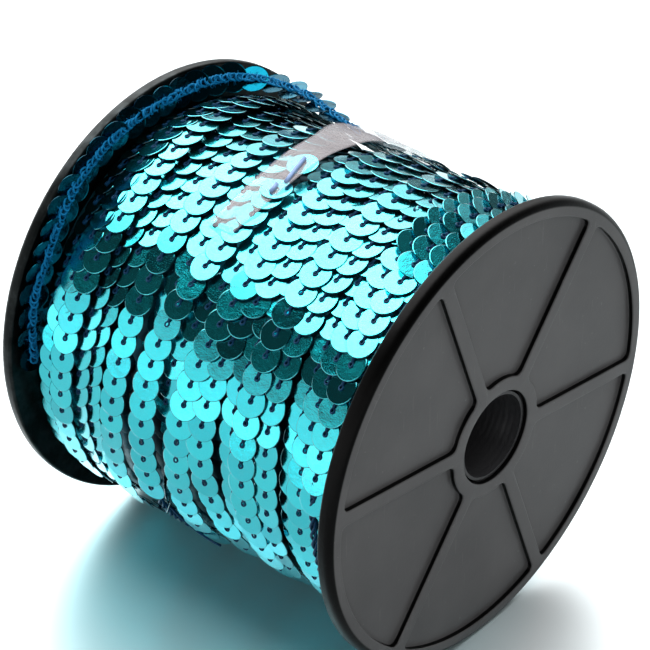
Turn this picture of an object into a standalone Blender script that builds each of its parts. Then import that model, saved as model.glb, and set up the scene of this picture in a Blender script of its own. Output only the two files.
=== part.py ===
"""Sequin trim wound on a moulded plastic reel.

A long strip of overlapped round sequins is wound on a black reel with two ribbed flanges.
The reel lies on the rims of its flanges, its turning axis level and along X.
Every piece is made about its own Z axis, and one empty lays the whole reel on its side.
An angle round the reel is counted from the +Y side up towards the top.
"""
import math

import bmesh
import bpy
from mathutils import Vector

# Driving dimensions, in metres
MM = 0.001
REEL_WIDTH = 82.0 * MM
FLANGE_RADIUS = 45.0 * MM
FLANGE_THICKNESS = 3.0 * MM
BORE_RADIUS = 9.1 * MM
CLEARANCE = 0.35 * MM

# The flange's moulded face
RIM_EDGE_ROUNDING = 1.4 * MM
RIM_BAND_INNER_RADIUS = 41.9 * MM
HUB_RADIUS = 12.0 * MM
PANEL_DEPTH = 1.0 * MM
PANEL_CORNER_RADIUS = 1.6 * MM
PANEL_ARC_STEPS = 14
RIB_COUNT = 6
RIB_HALF_WIDTH = 1.45 * MM
RIB_TURN = math.radians(52.0)
FLAT_HALF_WIDTH = 5.0 * MM
FLANGE_STEPS = 72

# The core tube, whose ends lie a little inside the flanges
TUBE_RADIUS = BORE_RADIUS - CLEARANCE
TUBE_WALL = 0.8 * MM
TUBE_SINK = 0.8 * MM
TUBE_CHAMFER = 0.25 * MM
TUBE_STEPS = 48

# The wound form
TRIM_WIDTH = 6.0 * MM
WOUND_RADIUS = 40.2 * MM
LAYER_LIFT = 0.55 * MM
GROOVE_DEPTH = 1.9 * MM
RIDGE_CROWN = 1.0 * MM
RIDGE_REACH = 3.6 * MM
WOUND_STEPS = 60
WOUND_STATIONS = 64

# Where each turn of the outer layer runs across the reel, in millimetres from its middle,
# at these angles round the reel. Layer 0 lies lowest. Behind, a turn crosses to the next one.
TURN_ANGLES = (50, 80, 100, 120, 140, 160, 180, 200, 220)
TURNS = (
    {"layer": 0.0, "across": (-34.4, -34.6, -34.6, -34.5, -34.0, -34.6, -34.7, -34.7, -34.7)},
    {"layer": 0.6, "across": (-29.5, -30.2, -30.5, -30.2, -30.4, -32.3, -33.2, -34.0, -34.4)},
    {"layer": 1.2, "across": (-26.8, -26.8, -26.3, -25.9, -26.6, -28.5, -29.9, -31.3, -32.6)},
    {"layer": 0.6, "across": (-23.6, -23.0, -22.1, -22.4, -23.3, -24.1, -25.2, -26.6, -28.2)},
    {"layer": 0.0, "across": (-19.2, -18.6, -17.8, -18.2, -19.7, -21.7, -22.5, -24.0, -25.8)},
    {"layer": 1.0, "across": (-11.8, -12.2, -12.5, -13.1, -13.6, -14.5, -15.8, -17.6, -19.8)},
    {"layer": 0.0, "across": (-9.6, -9.0, -8.6, -7.8, -8.2, -10.2, -11.4, -13.4, -15.0)},
    {"layer": 1.1, "across": (-6.5, -5.2, -2.9, -3.4, -5.1, -7.0, -7.9, -8.7, -10.4)},
    {"layer": 0.3, "across": (0.6, 0.6, 2.1, 2.3, 0.1, -3.3, -4.6, -4.8, -5.4)},
    {"layer": 0.9, "across": (4.6, 5.2, 6.3, 6.3, 4.9, 2.6, 0.7, -0.6, -1.6)},
    {"layer": 0.5, "across": (8.6, 9.2, 9.9, 10.3, 8.4, 6.8, 5.9, 8.0, 8.6)},
    {"layer": 0.0, "across": (12.8, 13.0, 13.3, 13.2, 12.9, 12.5, 13.4, 13.0, 12.6)},
    {"layer": 1.1, "across": (17.0, 17.4, 17.5, 16.8, 16.0, 16.2, 16.5, 17.3, 18.0)},
    {"layer": 0.6, "across": (21.6, 21.8, 21.6, 20.7, 20.2, 20.7, 21.7, 21.6, 22.0)},
    {"layer": 0.0, "across": (24.2, 24.3, 23.5, 24.2, 25.8, 26.3, 26.8, 27.0, 27.4)},
    {"layer": 0.5, "across": (26.8, 27.0, 27.4, 28.0, 29.0, 29.3, 29.5, 29.8, 30.4)},
    {"layer": 1.1, "across": (30.2, 30.5, 31.1, 31.7, 32.4, 32.8, 33.0, 33.6, 34.0)},
    {"layer": 0.4, "across": (34.2, 34.4, 34.6, 34.7, 34.7, 34.7, 34.7, 34.7, 34.7)},
)

# The last stretch of the trim stands on edge against the far flange, then crosses the top
# and ends under the tape. Degrees, millimetres; tilt 0 lies flat and 90 stands on edge.
END_RUN = (
    {"angle": 63.5, "across": 0.0, "radius": 41.5, "tilt": 0},
    {"angle": 66.0, "across": -2.8, "radius": 41.8, "tilt": 3},
    {"angle": 68.0, "across": -6.5, "radius": 42.5, "tilt": 10},
    {"angle": 68.0, "across": -12.5, "radius": 43.2, "tilt": 18},
    {"angle": 66.5, "across": -19.0, "radius": 43.6, "tilt": 24},
    {"angle": 65.5, "across": -25.5, "radius": 43.7, "tilt": 31},
    {"angle": 67.5, "across": -31.0, "radius": 43.5, "tilt": 42},
    {"angle": 73.0, "across": -34.6, "radius": 43.0, "tilt": 56},
    {"angle": 82.0, "across": -35.9, "radius": 42.4, "tilt": 67},
    {"angle": 94.0, "across": -36.2, "radius": 42.3, "tilt": 72},
    {"angle": 106.0, "across": -36.4, "radius": 42.9, "tilt": 76},
    {"angle": 120.0, "across": -36.4, "radius": 43.6, "tilt": 78},
    {"angle": 133.0, "across": -36.4, "radius": 43.3, "tilt": 78},
    {"angle": 146.0, "across": -36.5, "radius": 42.0, "tilt": 79},
    {"angle": 160.0, "across": -36.6, "radius": 41.9, "tilt": 80},
    {"angle": 176.0, "across": -36.6, "radius": 40.6, "tilt": 80},
)
END_RUN_THICKNESS = 0.9 * MM
END_RUN_STEPS = 52
BED_LONG = 7.0
BED_WIDE = 2.0 * MM
BED_DEPTH = END_RUN_THICKNESS / 2.0 + CLEARANCE + 0.15 * MM

# Slow swells of the wound form: where the pile of turns is fuller or leaner
SWELLS = (
    {"angle": 222, "across": -17.0, "height": 1.1, "wide": 12.0, "long": 30.0},
    {"angle": 222, "across": 20.0, "height": -0.9, "wide": 12.0, "long": 30.0},
    {"angle": 54, "across": 14.0, "height": 0.3, "wide": 12.0, "long": 25.0},
    {"angle": 54, "across": -18.0, "height": -1.1, "wide": 13.0, "long": 18.0},
)

# The clear tape over the end of the trim: its two edges across the reel, in millimetres
TAPE_THICKNESS = 0.4 * MM
TAPE_LIFT = 0.8 * MM
TAPE_ROWS = (
    {"angle": 40, "left": -6.0, "right": 4.0},
    {"angle": 54, "left": -6.5, "right": 4.5},
    {"angle": 66, "left": -7.5, "right": 2.0},
    {"angle": 74, "left": -9.2, "right": -0.6},
    {"angle": 86, "left": -8.0, "right": -1.0},
    {"angle": 100, "left": -7.4, "right": -0.4},
    {"angle": 114, "left": -8.0, "right": -1.0},
    {"angle": 122, "left": -8.8, "right": -2.4},
)
TAPE_REACH_LONG = 3.0
TAPE_REACH_WIDE = 1.6 * MM
TAPE_STEPS_LONG = 20
TAPE_STEPS_WIDE = 5


def clear_scene():
    for scene_object in list(bpy.data.objects):
        bpy.data.objects.remove(scene_object, do_unlink=True)


def make_collection(name):
    collection = bpy.data.collections.new(name)
    bpy.context.scene.collection.children.link(collection)
    return collection


def make_material(name, colour, roughness, metallic=0.0):
    material = bpy.data.materials.new(name)
    material.use_nodes = True
    shader = material.node_tree.nodes["Principled BSDF"]
    shader.inputs["Base Color"].default_value = (*colour, 1.0)
    shader.inputs["Roughness"].default_value = roughness
    shader.inputs["Metallic"].default_value = metallic
    return material


def add_object(name, mesh, collection, parent, material=None):
    new_object = bpy.data.objects.new(name, mesh)
    collection.objects.link(new_object)
    new_object.parent = parent
    if material is not None:
        mesh.materials.append(material)
    return new_object


def smooth(mesh, sharp_degrees=30.0):
    mesh.shade_smooth()
    mesh.set_sharp_from_angle(angle=math.radians(sharp_degrees))


def turned_mesh(name, profile, steps):
    """Turn a closed profile of (radius, height) points round the Z axis."""
    mesh = bpy.data.meshes.new(name + "_profile")
    points = [(radius, 0.0, height) for radius, height in profile]
    edges = [(index, (index + 1) % len(points)) for index in range(len(points))]
    mesh.from_pydata(points, edges, [])
    blank = bpy.data.objects.new(name + "_profile", mesh)
    bpy.context.scene.collection.objects.link(blank)
    screw = blank.modifiers.new("turn", "SCREW")
    screw.axis = "Z"
    screw.steps = steps
    screw.render_steps = steps
    screw.use_merge_vertices = True
    screw.merge_threshold = 0.00001
    depsgraph = bpy.context.evaluated_depsgraph_get()
    turned = bpy.data.meshes.new_from_object(blank.evaluated_get(depsgraph))
    turned.name = name
    bpy.data.objects.remove(blank, do_unlink=True)
    return turned


def hide_cutter(cutter):
    cutter.hide_render = True
    cutter.display_type = "WIRE"


def cut(target, cutter):
    boolean = target.modifiers.new(cutter.name, "BOOLEAN")
    boolean.operation = "DIFFERENCE"
    boolean.solver = "EXACT"
    boolean.object = cutter


def blend(start, end, share):
    """Move smoothly from start to end as share goes from 0 to 1."""
    share = min(1.0, max(0.0, share))
    return start + (end - start) * share * share * (3.0 - 2.0 * share)


def along_table(angle, angles, values):
    """Read a table of values at rising angles, with straight steps between them."""
    if angle <= angles[0]:
        return values[0]
    for index in range(len(angles) - 1):
        if angle <= angles[index + 1]:
            share = (angle - angles[index]) / (angles[index + 1] - angles[index])
            return values[index] + (values[index + 1] - values[index]) * share
    return values[-1]


# The flanges

def flange_profile():
    rounding = RIM_EDGE_ROUNDING
    rim = []
    for degrees in (90, 60, 30, 0):
        turn = math.radians(degrees)
        rim.append((FLANGE_RADIUS - rounding + rounding * math.cos(turn),
                    -rounding + rounding * math.sin(turn)))
    inner_edge = rounding / 3.0
    return ([(BORE_RADIUS, 0.0)] + rim
            + [(FLANGE_RADIUS, -FLANGE_THICKNESS + inner_edge),
               (FLANGE_RADIUS - inner_edge, -FLANGE_THICKNESS),
               (BORE_RADIUS, -FLANGE_THICKNESS)])


def panel_outline(first_rib):
    """One panel between two ribs: an outer arc, a rib's side, an inner arc, a rib's side."""
    points = []
    sector = 2.0 * math.pi / RIB_COUNT
    for radius, steps, outwards in ((RIM_BAND_INNER_RADIUS, PANEL_ARC_STEPS, True),
                                    (HUB_RADIUS, PANEL_ARC_STEPS // 3, False)):
        inset = math.asin(RIB_HALF_WIDTH / radius)
        start, end = first_rib + inset, first_rib + sector - inset
        for step in range(steps + 1):
            share = step / steps if outwards else 1.0 - step / steps
            angle = start + (end - start) * share
            points.append((radius * math.cos(angle), radius * math.sin(angle)))
    return points


def panel_cutter_mesh(name):
    """The six sunk panels of a flange, as one cutter with rounded corners."""
    form = bmesh.new()
    for rib in range(RIB_COUNT):
        outline = panel_outline(RIB_TURN + rib * 2.0 * math.pi / RIB_COUNT)
        corners = (0, PANEL_ARC_STEPS, PANEL_ARC_STEPS + 1, len(outline) - 1)
        floor = [form.verts.new((x, y, -PANEL_DEPTH)) for x, y in outline]
        face = form.faces.new(floor)
        lifted = bmesh.ops.extrude_face_region(form, geom=[face])
        top = [item for item in lifted["geom"] if isinstance(item, bmesh.types.BMVert)]
        bmesh.ops.translate(form, verts=top, vec=(0.0, 0.0, 2.0 * PANEL_DEPTH))
        upright = [edge for corner in corners for edge in floor[corner].link_edges
                   if abs(edge.verts[0].co.z - edge.verts[1].co.z) > PANEL_DEPTH]
        bmesh.ops.bevel(form, geom=upright, offset=PANEL_CORNER_RADIUS, segments=3,
                        profile=0.5, affect="EDGES")
    bmesh.ops.recalc_face_normals(form, faces=form.faces)
    mesh = bpy.data.meshes.new(name)
    form.to_mesh(mesh)
    form.free()
    return mesh


def flat_cutter_mesh(name):
    """A box that takes the small resting flat off the lowest part of a rim."""
    flat_height = math.sqrt(FLANGE_RADIUS ** 2 - FLAT_HALF_WIDTH ** 2)
    size = 4.0 * FLAT_HALF_WIDTH
    form = bmesh.new()
    bmesh.ops.create_cube(form, size=size)
    bmesh.ops.translate(form, verts=form.verts, vec=(0.0, -flat_height - size / 2.0, 0.0))
    mesh = bpy.data.meshes.new(name)
    form.to_mesh(mesh)
    form.free()
    return mesh


def make_flange(name, side, parts, cutters, reel, material):
    """A flange has its outer face at local height 0; side is +1 near, -1 far."""
    mesh = turned_mesh(name, flange_profile(), FLANGE_STEPS)
    flange = add_object(name, mesh, parts, reel, material)
    panels = add_object(name + "_panels", panel_cutter_mesh(name + "_panels"), cutters, reel)
    flat = add_object(name + "_flat", flat_cutter_mesh(name + "_flat"), cutters, reel)
    for piece in (flange, panels, flat):
        piece.location.z = side * REEL_WIDTH / 2.0
        piece.rotation_euler.y = 0.0 if side > 0 else math.pi
    for cutter in (panels, flat):
        hide_cutter(cutter)
        cut(flange, cutter)
    smooth(mesh)
    return flange


# The core tube

def make_core_tube(parts, reel, material):
    half = REEL_WIDTH / 2.0 - TUBE_SINK
    inner = TUBE_RADIUS - TUBE_WALL
    profile = [(inner + TUBE_CHAMFER, half), (TUBE_RADIUS, half), (TUBE_RADIUS, -half),
               (inner + TUBE_CHAMFER, -half), (inner, -half + TUBE_CHAMFER),
               (inner, half - TUBE_CHAMFER)]
    mesh = turned_mesh("core_tube", profile, TUBE_STEPS)
    smooth(mesh)
    return add_object("core_tube", mesh, parts, reel, material)


# The wound trim

def turn_place(index, angle):
    """Where turn number index runs across the reel, and how high it lies, at an angle."""
    first = TURN_ANGLES[0]
    turn = TURNS[index]
    following = TURNS[min(index + 1, len(TURNS) - 1)]
    angle = first + (angle - first) % 360.0
    if angle <= TURN_ANGLES[-1]:
        return along_table(angle, TURN_ANGLES, turn["across"]) * MM, turn["layer"]
    share = (angle - TURN_ANGLES[-1]) / (first + 360.0 - TURN_ANGLES[-1])
    return (blend(turn["across"][-1], following["across"][0], share) * MM,
            blend(turn["layer"], following["layer"], share))


def swell(angle, across):
    """How much fuller the wound form is at a place."""
    total = 0.0
    for row in SWELLS:
        apart = (angle - row["angle"] + 180.0) % 360.0 - 180.0
        reach = (apart / row["long"]) ** 2 + ((across / MM - row["across"]) / row["wide"]) ** 2
        total += row["height"] * MM * math.exp(-reach)
    return total


def ridge_drop(distance):
    """How far the rounded back of one turn falls away at a distance from its middle."""
    half = TRIM_WIDTH / 2.0
    crown = RIDGE_CROWN * (min(abs(distance), half) / half) ** 2
    side = (abs(distance) - half) / (RIDGE_REACH - half)
    return crown + blend(0.0, GROOVE_DEPTH - RIDGE_CROWN, side)


def wound_radius(angle, across):
    """The outside of the wound form: rounded turns with grooves between."""
    level = WOUND_RADIUS + swell(angle, across)
    outside = level - GROOVE_DEPTH
    for index in range(len(TURNS)):
        place, layer = turn_place(index, angle)
        drop = ridge_drop(across - place)
        if drop < GROOVE_DEPTH:
            outside = max(outside, level + (layer - 1.0) * LAYER_LIFT - drop)
    return outside


def bedded_radius(angle, across, end_rows):
    """The turns give way under the last stretch of the trim, which lies in a shallow bed."""
    outside = wound_radius(angle, across)
    for point in (point for row in end_rows for point in row):
        apart = (angle - math.degrees(math.atan2(point.y, point.x)) + 180.0) % 360.0 - 180.0
        if abs(apart) < BED_LONG and abs(across - point.z) < BED_WIDE:
            outside = min(outside, math.hypot(point.x, point.y) - BED_DEPTH)
    return outside


def through_rows(place, values):
    """A smooth curve through a list of values, read at a place counted in rows."""
    index = min(int(place), len(values) - 2)
    share = place - index
    start, end = values[index], values[index + 1]
    before = values[max(0, index - 1)]
    after = values[min(len(values) - 1, index + 2)]
    lead_in, lead_out = (end - before) / 2.0, (after - start) / 2.0
    square, cube = share * share, share * share * share
    return ((2 * cube - 3 * square + 1) * start + (cube - 2 * square + share) * lead_in
            + (3 * square - 2 * cube) * end + (cube - square) * lead_out)


def end_run_centre(place):
    """The middle of the last stretch of trim at a place along its rows, and its tilt."""
    place = min(len(END_RUN) - 1.0, max(0.0, place))
    angle, across, radius, tilt = (through_rows(place, [row[key] for row in END_RUN])
                                   for key in ("angle", "across", "radius", "tilt"))
    turn = math.radians(angle)
    outwards = Vector((math.cos(turn), math.sin(turn), 0.0))
    return outwards * radius * MM + Vector((0.0, 0.0, across * MM)), outwards, math.radians(tilt)


def end_run_rows():
    """Points across the last stretch of trim, a row for each step along it."""
    rows = []
    for step in range(END_RUN_STEPS + 1):
        place = (len(END_RUN) - 1) * step / END_RUN_STEPS
        centre, outwards, tilt = end_run_centre(place)
        forwards = end_run_centre(place + 0.3)[0] - end_run_centre(place - 0.3)[0]
        side = forwards.cross(outwards).normalized()
        lifted = side.cross(forwards).normalized()
        wide = side * math.cos(tilt) + lifted * math.sin(tilt)
        rows.append([centre + wide * TRIM_WIDTH * share for share in (0.5, 0.0, -0.5)])
    return rows


def make_trim_winding(parts, reel, material, end_rows):
    """Turn a plain wound blank, then set each outer point to the height of its turns."""
    half = REEL_WIDTH / 2.0 - FLANGE_THICKNESS - CLEARANCE
    inner = BORE_RADIUS + CLEARANCE
    profile = [(inner, half)]
    for station in range(WOUND_STATIONS):
        profile.append((WOUND_RADIUS, half - 2.0 * half * station / (WOUND_STATIONS - 1)))
    profile.append((inner, -half))
    mesh = turned_mesh("trim_winding", profile, WOUND_STEPS)
    for vertex in mesh.vertices:
        x, y, z = vertex.co
        if math.hypot(x, y) > (inner + WOUND_RADIUS) / 2.0:
            turn = math.atan2(y, x)
            radius = bedded_radius(math.degrees(turn) % 360.0, z, end_rows)
            vertex.co = (radius * math.cos(turn), radius * math.sin(turn), z)
    smooth(mesh, 60.0)
    return add_object("trim_winding", mesh, parts, reel, material)


# The end of the trim and the clear tape over it

def strip_object(name, rows, thickness, parts, reel, material):
    """A thin strip through rows of points, thickened evenly to both sides."""
    form = bmesh.new()
    lines = [[form.verts.new(point) for point in row] for row in rows]
    for lower, upper in zip(lines, lines[1:]):
        for place in range(len(lower) - 1):
            form.faces.new((lower[place], upper[place], upper[place + 1], lower[place + 1]))
    mesh = bpy.data.meshes.new(name)
    form.to_mesh(mesh)
    form.free()
    strip = add_object(name, mesh, parts, reel, material)
    thicken = strip.modifiers.new("thickness", "SOLIDIFY")
    thicken.thickness = thickness
    thicken.offset = 0.0
    smooth(mesh, 60.0)
    return strip


def tape_ground(angle, across, end_rows):
    """The highest thing under the tape at one place: the turns, or the end of the trim."""
    ground = wound_radius(angle, across)
    for point in (point for row in end_rows for point in row):
        apart = angle - math.degrees(math.atan2(point.y, point.x))
        if abs(apart) < TAPE_REACH_LONG and abs(point.z - across) < TAPE_REACH_WIDE:
            ground = max(ground, math.hypot(point.x, point.y) + END_RUN_THICKNESS / 2.0)
    return ground


def tape_radius(angle, across, end_rows):
    """The tape bridges what it covers, so it follows the highest ground near each place."""
    step = TRIM_WIDTH / 4.0
    places = [across + step * offset for offset in (-2, -1, 0, 1, 2)]
    angles = [angle - 6.0, angle - 3.0, angle, angle + 3.0, angle + 6.0]
    return TAPE_LIFT + max(tape_ground(turn, place, end_rows)
                           for turn in angles for place in places)


def make_end_tape(parts, reel, material, end_rows):
    angles = [row["angle"] for row in TAPE_ROWS]
    rows = []
    for step in range(TAPE_STEPS_LONG + 1):
        angle = angles[0] + (angles[-1] - angles[0]) * step / TAPE_STEPS_LONG
        left = along_table(angle, angles, [row["left"] for row in TAPE_ROWS]) * MM
        right = along_table(angle, angles, [row["right"] for row in TAPE_ROWS]) * MM
        turn = math.radians(angle)
        row = []
        for place in range(TAPE_STEPS_WIDE + 1):
            across = left + (right - left) * place / TAPE_STEPS_WIDE
            radius = tape_radius(angle, across, end_rows)
            row.append((radius * math.cos(turn), radius * math.sin(turn), across))
        rows.append(row)
    return strip_object("end_tape", rows, TAPE_THICKNESS, parts, reel, material)


clear_scene()
PARTS = make_collection("sequin_trim_reel")
CUTTERS = make_collection("cutters")

REEL = bpy.data.objects.new("reel_axis", None)
PARTS.objects.link(REEL)
REEL.location = (0.0, 0.0, math.sqrt(FLANGE_RADIUS ** 2 - FLAT_HALF_WIDTH ** 2))
REEL.rotation_euler = (math.pi / 2.0, 0.0, math.pi / 2.0)

PLASTIC = make_material("moulded_plastic", (0.055, 0.055, 0.058), 0.38)
TUBE_PLASTIC = make_material("tube_plastic", (0.045, 0.045, 0.047), 0.42)
SEQUINS = make_material("turquoise_sequins", (0.03, 0.55, 0.62), 0.22, 0.9)
FILM = make_material("clear_film", (0.82, 0.80, 0.82), 0.15)

make_flange("flange_near", 1, PARTS, CUTTERS, REEL, PLASTIC)
make_flange("flange_far", -1, PARTS, CUTTERS, REEL, PLASTIC)
make_core_tube(PARTS, REEL, TUBE_PLASTIC)
END_ROWS = end_run_rows()
make_trim_winding(PARTS, REEL, SEQUINS, END_ROWS)
strip_object("trim_end", END_ROWS, END_RUN_THICKNESS, PARTS, REEL, SEQUINS)
make_end_tape(PARTS, REEL, FILM, END_ROWS)
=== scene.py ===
"""A reel of sequin trim: turquoise sequins stitched on blue thread, wound on a black reel."""
import math

import bmesh
import bpy
from mathutils import Matrix, Vector


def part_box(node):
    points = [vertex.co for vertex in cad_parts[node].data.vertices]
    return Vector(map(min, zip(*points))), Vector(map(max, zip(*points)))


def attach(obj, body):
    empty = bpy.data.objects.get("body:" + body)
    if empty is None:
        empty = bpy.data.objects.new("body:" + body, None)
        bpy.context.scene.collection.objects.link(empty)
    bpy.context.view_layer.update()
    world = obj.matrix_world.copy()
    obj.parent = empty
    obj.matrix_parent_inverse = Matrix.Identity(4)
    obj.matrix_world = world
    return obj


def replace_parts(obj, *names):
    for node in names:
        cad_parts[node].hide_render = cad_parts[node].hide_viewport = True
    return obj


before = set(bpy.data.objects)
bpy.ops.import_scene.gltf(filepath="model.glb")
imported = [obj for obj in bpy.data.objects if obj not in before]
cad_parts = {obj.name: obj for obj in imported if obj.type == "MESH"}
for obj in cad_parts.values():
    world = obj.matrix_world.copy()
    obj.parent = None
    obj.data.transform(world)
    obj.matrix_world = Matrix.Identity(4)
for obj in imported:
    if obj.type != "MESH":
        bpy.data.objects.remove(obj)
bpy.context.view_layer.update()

# The reel's two flanges are one moulding, turned round at the far end: a black polystyrene
# disc with a raised rim band, six ribs and a hub ring, and sunk panels between them. The
# mould leaves soft edges and a satin skin, which handling has scratched.

MM = 0.001
AXIS_HEIGHT = (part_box("core_tube")[0][2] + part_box("core_tube")[1][2]) / 2.0
REEL_HALF_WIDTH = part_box("flange_near")[1][0]
FLANGE_THICKNESS = REEL_HALF_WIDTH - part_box("flange_near")[0][0]
FLANGE_RADIUS = 45.0 * MM
FLANGE_HOLE_RADIUS = 9.1 * MM
RIM_ROUNDING = 1.5 * MM
RIM_BAND_RADIUS = 41.9 * MM
HUB_RING_RADIUS = 12.0 * MM
RIB_COUNT = 6
RIB_HALF_WIDTH = 1.45 * MM
RIB_TURN = math.radians(52.0)
PANEL_DEPTH = 1.0 * MM
PANEL_CORNER = 1.5 * MM
MOULD_EDGE = 0.28 * MM
MOULD_FILLET = 0.22 * MM
HOLE_CHAMFER = 0.25 * MM
BACK_ROUNDING = 0.6 * MM
FLANGE_STEPS = 180
DEPTH_MASK = 2.0 * MM
RIM_MASK_START = 41.0 * MM
RIM_MASK_WIDTH = 4.0 * MM
PLASTIC_BLACK = (0.050, 0.048, 0.049)
PLASTIC_DUSTY = (0.088, 0.085, 0.086)


def on_reel(angle, radius, across):
    """The point at an angle in degrees and a radius round the reel's axis, across the reel."""
    turn = math.radians(angle)
    return Vector((across, radius * math.cos(turn), AXIS_HEIGHT + radius * math.sin(turn)))


def node(tree, kind, inputs=None, **settings):
    """Adds a node; a value given for an input is set, and a socket given for it is linked."""
    made = tree.nodes.new(kind)
    for name, value in settings.items():
        setattr(made, name, value)
    for name, value in (inputs or {}).items():
        if isinstance(value, bpy.types.NodeSocket):
            tree.links.new(value, made.inputs[name])
        else:
            made.inputs[name].default_value = value
    return made


def new_finish(name, colour, roughness, metallic=0.0):
    """A material with its shader's plain values set, its tree, and its shader."""
    material = bpy.data.materials.new(name)
    material.use_nodes = True
    shader = material.node_tree.nodes["Principled BSDF"]
    shader.inputs["Base Color"].default_value = (*colour, 1.0)
    shader.inputs["Roughness"].default_value = roughness
    shader.inputs["Metallic"].default_value = metallic
    return material, material.node_tree, shader


def ramp(tree, factor, low, high, low_value=(0, 0, 0, 1), high_value=(1, 1, 1, 1)):
    """A colour ramp with two stops."""
    made = node(tree, "ShaderNodeValToRGB", {"Fac": factor})
    made.color_ramp.elements[0].position = low
    made.color_ramp.elements[0].color = low_value
    made.color_ramp.elements[1].position = high
    made.color_ramp.elements[1].color = high_value
    return made.outputs["Color"]


def noise(tree, where, scale, detail=4.0, roughness=0.55):
    made = node(tree, "ShaderNodeTexNoise",
                {"Vector": where, "Scale": scale, "Detail": detail, "Roughness": roughness})
    return made.outputs["Fac"]


def stretched(tree, where, scale, turn):
    """Coordinates squeezed and turned, for marks that run one way."""
    made = node(tree, "ShaderNodeMapping",
                {"Vector": where, "Scale": scale, "Rotation": turn})
    return made.outputs["Vector"]


def mix(tree, factor, first, second):
    made = node(tree, "ShaderNodeMix", data_type="RGBA")
    for socket, value in ((made.inputs[0], factor), (made.inputs[6], first),
                          (made.inputs[7], second)):
        if isinstance(value, bpy.types.NodeSocket):
            tree.links.new(value, socket)
        else:
            socket.default_value = value
    return made.outputs[2]


def maths(tree, operation, *values):
    made = tree.nodes.new("ShaderNodeMath")
    made.operation = operation
    for socket, value in zip(made.inputs, values):
        if isinstance(value, bpy.types.NodeSocket):
            tree.links.new(value, socket)
        else:
            socket.default_value = value
    return made.outputs[0]


def bump(tree, shader, height, strength, distance):
    made = node(tree, "ShaderNodeBump",
                {"Height": height, "Strength": strength, "Distance": distance})
    tree.links.new(made.outputs["Normal"], shader.inputs["Normal"])


def object_place(tree):
    return node(tree, "ShaderNodeTexCoord").outputs["Object"]


def attribute(tree, name):
    return node(tree, "ShaderNodeAttribute", attribute_name=name).outputs["Fac"]


def moulded_plastic(name, side, shade_low, shade_high):
    """The dusty satin of the outer face, with painted shade: its walls, rim and inner side are coloured
    blacker.
    """
    material, tree, shader = new_finish(name, PLASTIC_BLACK, 0.36)
    where = object_place(tree)
    cloudy = ramp(tree, noise(tree, where, 60.0, 5.0), 0.35, 0.72)
    specks = ramp(tree, noise(tree, where, 900.0, 2.0), 0.70, 0.76)
    scratches = 0.0
    for turn, seed_scale in ((0.5, 90.0), (-0.9, 70.0), (1.9, 80.0)):
        line_place = stretched(tree, where, (1.0, 26.0, 1.0), (turn, 0.3, 0.2))
        lines = ramp(tree, noise(tree, line_place, seed_scale, 3.0), 0.71, 0.725)
        scratches = maths(tree, "MAXIMUM", lines, scratches)
    dusty = mix(tree, cloudy, (*PLASTIC_BLACK, 1.0), (*PLASTIC_DUSTY, 1.0))
    marked = mix(tree, maths(tree, "MULTIPLY", specks, 0.5), dusty, (0.16, 0.16, 0.16, 1.0))
    scratched = mix(tree, maths(tree, "MULTIPLY", scratches, 0.15), marked, (0.2, 0.2, 0.2, 1.0))
    # Painted shade: the sunk panels' walls, the rounded rim and the inner side take a near-black colour
    # (mottled on the far flange) and a metallic value that plain polystyrene hasn't, so they stay as
    # dark as shade would make them.
    parts = node(tree, "ShaderNodeSeparateXYZ", {"Vector": where})
    depth = maths(tree, "MULTIPLY_ADD", parts.outputs["X"], -side / DEPTH_MASK,
                  REEL_HALF_WIDTH / DEPTH_MASK)
    walls = maths(tree, "SUBTRACT", ramp(tree, depth, 0.05, 0.12), ramp(tree, depth, 0.43, 0.49))
    flat = node(tree, "ShaderNodeVectorMath", {0: where, 1: (0.0, 1.0, 1.0)},
                operation="MULTIPLY").outputs["Vector"]
    from_axis = node(tree, "ShaderNodeVectorMath", {0: flat, 1: (0.0, 0.0, AXIS_HEIGHT)},
                     operation="DISTANCE").outputs["Value"]
    outer = maths(tree, "MULTIPLY_ADD", from_axis, 1.0 / RIM_MASK_WIDTH,
                  -RIM_MASK_START / RIM_MASK_WIDTH)
    rim = ramp(tree, outer, 0.66, 0.73)
    inner_side = ramp(tree, depth, 0.56, 0.62)
    shade_places = maths(tree, "MAXIMUM", maths(tree, "MAXIMUM", walls, rim), inner_side)
    painted_shade_share = maths(tree, "MULTIPLY", shade_places, 0.95)
    mottled = ramp(tree, noise(tree, where, 170.0, 8.0, 0.7), 0.42, 0.66)
    shade_tint = mix(tree, mottled, shade_low, shade_high)
    shaded = mix(tree, painted_shade_share, scratched, shade_tint)
    tree.links.new(shaded, shader.inputs["Base Color"])
    tree.links.new(painted_shade_share, shader.inputs["Metallic"])
    rough = maths(tree, "MULTIPLY_ADD", cloudy, 0.14, 0.34)
    tree.links.new(rough, shader.inputs["Roughness"])
    grain = noise(tree, where, 1400.0, 3.0)
    height = maths(tree, "MULTIPLY_ADD", scratches, -0.6, grain)
    bump(tree, shader, height, 0.25, 0.00006)
    return material


def rounded_corners(corners, reach, steps):
    """An outline with each marked corner eased into a short curve of the same point count."""
    eased = []
    for index, (corner, is_sharp) in enumerate(corners):
        if not is_sharp:
            eased.append(corner)
            continue
        before, after = corners[index - 1][0], corners[(index + 1) % len(corners)][0]
        start = corner + (before - corner).normalized() * reach
        end = corner + (after - corner).normalized() * reach
        for step in range(steps + 1):
            share = step / steps
            eased.append(start.lerp(corner, share).lerp(corner.lerp(end, share), share))
    return eased


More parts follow.
